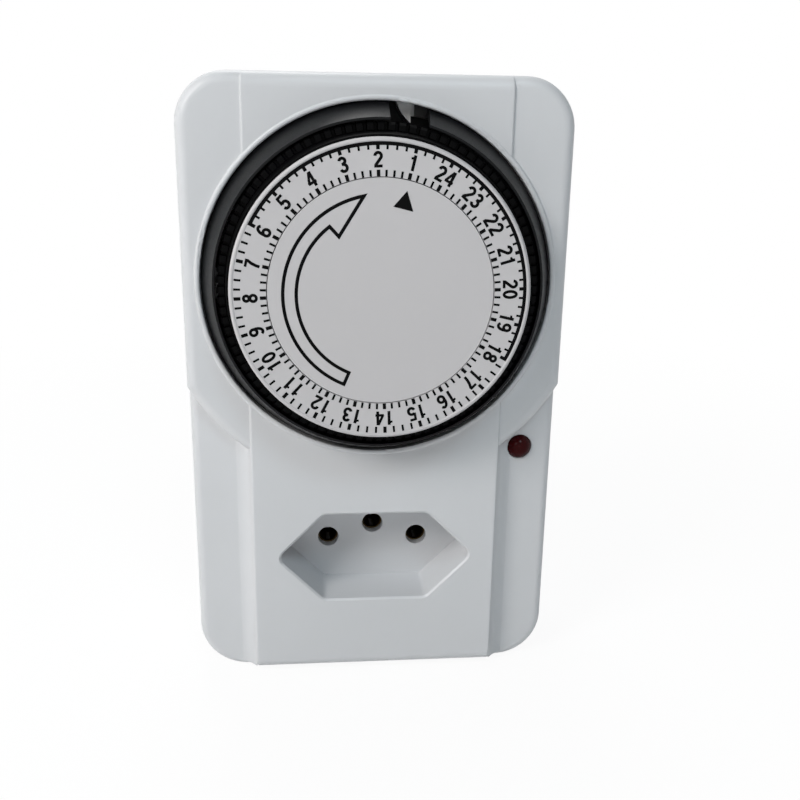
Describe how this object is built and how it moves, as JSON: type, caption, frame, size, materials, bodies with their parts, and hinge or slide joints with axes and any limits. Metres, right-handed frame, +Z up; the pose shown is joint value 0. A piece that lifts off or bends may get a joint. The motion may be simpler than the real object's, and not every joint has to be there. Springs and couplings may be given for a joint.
{
  "type": "mechanical time switch",
  "caption": "Plug-in mechanical time switch: a 24-hour dial ringed by push-in tappets stands above a recessed socket with a red indicator, and a plug with round pins at the back.",
  "frame": {"origin": "middle of the plug's flat end face, midway between the line and neutral pins", "axes": "+Z up along the body, +X to the right seen from the front, +Y into the wall along the plug's pins"},
  "size_m": [0.0743, 0.0778, 0.121],
  "materials": {
    "housing_white": "satin moulded plastic, cool white",
    "dial_white": "smooth printed plastic, white",
    "collar_black": "satin moulded plastic, black",
    "tappet_black": "moulded plastic, black",
    "lever_white": "acetal, natural white",
    "slider_black": "moulded plastic, black",
    "movement_grey": "moulded plastic, grey",
    "gear_natural": "acetal, natural",
    "motor_zinc": "zinc-plated drawn sheet",
    "screw_steel": "zinc-plated steel",
    "arbor_steel": "ground steel",
    "switch_black": "phenolic, black",
    "plunger_red": "moulded plastic, red",
    "lens_red": "clear dark red, polished",
    "lamp_red": "red epoxy",
    "board_green": "glass-fibre board with green mask",
    "contact_brass": "pressed sheet brass",
    "pin_nickel": "nickel-plated brass, turned"
  },
  "bodies": {
    "housing": {"front_housing": "housing_white", "rear_cover": "housing_white", "case_screws": "screw_steel", "dial_collar": "collar_black", "centre_disc": "dial_white", "movement_plate": "movement_grey", "movement_screws": "screw_steel", "motor_case": "motor_zinc", "motor_screws": "screw_steel", "wheel_arbors": "arbor_steel", "lever_pivot": "arbor_steel", "switch_case": "switch_black", "switch_terminals": "contact_brass", "switch_screws": "screw_steel", "indicator_lens": "lens_red", "indicator_lamp": "lamp_red", "indicator_board": "board_green", "neutral_strap": "contact_brass", "earth_strap": "contact_brass", "line_feed_bar": "contact_brass", "line_return_bar": "contact_brass", "line_pin": "pin_nickel", "neutral_pin": "pin_nickel", "earth_pin": "pin_nickel", "line_contact": "contact_brass", "neutral_contact": "contact_brass", "earth_contact": "contact_brass"},
    "dial": {"tappet_carrier": "tappet_black", "dial_ring": "dial_white"},
    "second_wheel": {"second_wheel": "gear_natural"},
    "first_wheel": {"first_wheel": "gear_natural"},
    "motor_pinion": {"motor_pinion": "gear_natural"},
    "follower_lever": {"follower_lever": "lever_white"},
    "switch_plunger": {"switch_plunger": "plunger_red"},
    "override_slider": {"override_slider": "slider_black"},
    "tappets_hour_01": {"tappets_hour_01": "tappet_black"},
    "tappets_hour_02": {"tappets_hour_02": "tappet_black"},
    "tappets_hour_03": {"tappets_hour_03": "tappet_black"},
    "tappets_hour_04": {"tappets_hour_04": "tappet_black"},
    "tappets_hour_05": {"tappets_hour_05": "tappet_black"},
    "tappets_hour_06": {"tappets_hour_06": "tappet_black"},
    "tappets_hour_07": {"tappets_hour_07": "tappet_black"},
    "tappets_hour_08": {"tappets_hour_08": "tappet_black"},
    "tappets_hour_09": {"tappets_hour_09": "tappet_black"},
    "tappets_hour_10": {"tappets_hour_10": "tappet_black"},
    "tappets_hour_11": {"tappets_hour_11": "tappet_black"},
    "tappets_hour_12": {"tappets_hour_12": "tappet_black"},
    "tappets_hour_13": {"tappets_hour_13": "tappet_black"},
    "tappets_hour_14": {"tappets_hour_14": "tappet_black"},
    "tappets_hour_15": {"tappets_hour_15": "tappet_black"},
    "tappets_hour_16": {"tappets_hour_16": "tappet_black"},
    "tappets_hour_17": {"tappets_hour_17": "tappet_black"},
    "tappets_hour_18": {"tappets_hour_18": "tappet_black"},
    "tappets_hour_19": {"tappets_hour_19": "tappet_black"},
    "tappets_hour_20": {"tappets_hour_20": "tappet_black"},
    "tappets_hour_21": {"tappets_hour_21": "tappet_black"},
    "tappets_hour_22": {"tappets_hour_22": "tappet_black"},
    "tappets_hour_23": {"tappets_hour_23": "tappet_black"},
    "tappets_hour_24": {"tappets_hour_24": "tappet_black"}
  },
  "joints": [
    {"name": "dial_turn", "type": "hinge", "parent": "housing", "child": "dial", "pos_m": [0, -0.05878, 0.0566], "axis": [0, 1, 0], "continuous": true},
    {"name": "second_wheel_turn", "type": "hinge", "parent": "housing", "child": "second_wheel", "pos_m": [0.0105, -0.0439, 0.03841], "axis": [0, 1, 0], "continuous": true},
    {"name": "first_wheel_turn", "type": "hinge", "parent": "housing", "child": "first_wheel", "pos_m": [-0.0015, -0.0417, 0.03841], "axis": [0, 1, 0], "continuous": true},
    {"name": "motor_turn", "type": "hinge", "parent": "housing", "child": "motor_pinion", "pos_m": [-0.00921, -0.0417, 0.04761], "axis": [0, 1, 0], "continuous": true},
    {"name": "follower_swing", "type": "hinge", "parent": "housing", "child": "follower_lever", "pos_m": [0.017, -0.0437, 0.0866], "axis": [0, 1, 0], "range_deg": [0, 5], "stiffness_Nm_per_rad": 0.02, "springref_deg": -5.73},
    {"name": "plunger_press", "type": "slide", "parent": "housing", "child": "switch_plunger", "axis": [0, 0, -1], "range_m": [0, 0.0009]},
    {"name": "override_slide", "type": "slide", "parent": "housing", "child": "override_slider", "axis": [0, 0, 1], "range_m": [0, 0.004]},
    {"name": "tappets_hour_01_press", "type": "slide", "parent": "dial", "child": "tappets_hour_01", "axis": [0, 1, 0], "range_m": [0, 0.002]},
    {"name": "tappets_hour_02_press", "type": "slide", "parent": "dial", "child": "tappets_hour_02", "axis": [0, 1, 0], "range_m": [0, 0.002]},
    {"name": "tappets_hour_03_press", "type": "slide", "parent": "dial", "child": "tappets_hour_03", "axis": [0, 1, 0], "range_m": [0, 0.002]},
    {"name": "tappets_hour_04_press", "type": "slide", "parent": "dial", "child": "tappets_hour_04", "axis": [0, 1, 0], "range_m": [0, 0.002]},
    {"name": "tappets_hour_05_press", "type": "slide", "parent": "dial", "child": "tappets_hour_05", "axis": [0, 1, 0], "range_m": [0, 0.002]},
    {"name": "tappets_hour_06_press", "type": "slide", "parent": "dial", "child": "tappets_hour_06", "axis": [0, 1, 0], "range_m": [0, 0.002]},
    {"name": "tappets_hour_07_press", "type": "slide", "parent": "dial", "child": "tappets_hour_07", "axis": [0, 1, 0], "range_m": [0, 0.002]},
    {"name": "tappets_hour_08_press", "type": "slide", "parent": "dial", "child": "tappets_hour_08", "axis": [0, 1, 0], "range_m": [0, 0.002]},
    {"name": "tappets_hour_09_press", "type": "slide", "parent": "dial", "child": "tappets_hour_09", "axis": [0, 1, 0], "range_m": [0, 0.002]},
    {"name": "tappets_hour_10_press", "type": "slide", "parent": "dial", "child": "tappets_hour_10", "axis": [0, 1, 0], "range_m": [0, 0.002]},
    {"name": "tappets_hour_11_press", "type": "slide", "parent": "dial", "child": "tappets_hour_11", "axis": [0, 1, 0], "range_m": [0, 0.002]},
    {"name": "tappets_hour_12_press", "type": "slide", "parent": "dial", "child": "tappets_hour_12", "axis": [0, 1, 0], "range_m": [0, 0.002]},
    {"name": "tappets_hour_13_press", "type": "slide", "parent": "dial", "child": "tappets_hour_13", "axis": [0, 1, 0], "range_m": [0, 0.002]},
    {"name": "tappets_hour_14_press", "type": "slide", "parent": "dial", "child": "tappets_hour_14", "axis": [0, 1, 0], "range_m": [0, 0.002]},
    {"name": "tappets_hour_15_press", "type": "slide", "parent": "dial", "child": "tappets_hour_15", "axis": [0, 1, 0], "range_m": [0, 0.002]},
    {"name": "tappets_hour_16_press", "type": "slide", "parent": "dial", "child": "tappets_hour_16", "axis": [0, 1, 0], "range_m": [0, 0.002]},
    {"name": "tappets_hour_17_press", "type": "slide", "parent": "dial", "child": "tappets_hour_17", "axis": [0, 1, 0], "range_m": [0, 0.002]},
    {"name": "tappets_hour_18_press", "type": "slide", "parent": "dial", "child": "tappets_hour_18", "axis": [0, 1, 0], "range_m": [0, 0.002]},
    {"name": "tappets_hour_19_press", "type": "slide", "parent": "dial", "child": "tappets_hour_19", "axis": [0, 1, 0], "range_m": [0, 0.002]},
    {"name": "tappets_hour_20_press", "type": "slide", "parent": "dial", "child": "tappets_hour_20", "axis": [0, 1, 0], "range_m": [0, 0.002]},
    {"name": "tappets_hour_21_press", "type": "slide", "parent": "dial", "child": "tappets_hour_21", "axis": [0, 1, 0], "range_m": [0, 0.002]},
    {"name": "tappets_hour_22_press", "type": "slide", "parent": "dial", "child": "tappets_hour_22", "axis": [0, 1, 0], "range_m": [0, 0.002]},
    {"name": "tappets_hour_23_press", "type": "slide", "parent": "dial", "child": "tappets_hour_23", "axis": [0, 1, 0], "range_m": [0, 0.002]},
    {"name": "tappets_hour_24_press", "type": "slide", "parent": "dial", "child": "tappets_hour_24", "axis": [0, 1, 0], "range_m": [0, 0.002]}
  ],
  "couplings": [
    {"joint": "second_wheel_turn", "follows": "dial_turn", "ratio": 8},
    {"joint": "first_wheel_turn", "follows": "dial_turn", "ratio": -24},
    {"joint": "motor_turn", "follows": "dial_turn", "ratio": 72},
    {"joint": "plunger_press", "follows": "follower_swing", "m_per_rad": 0.01}
  ]
}
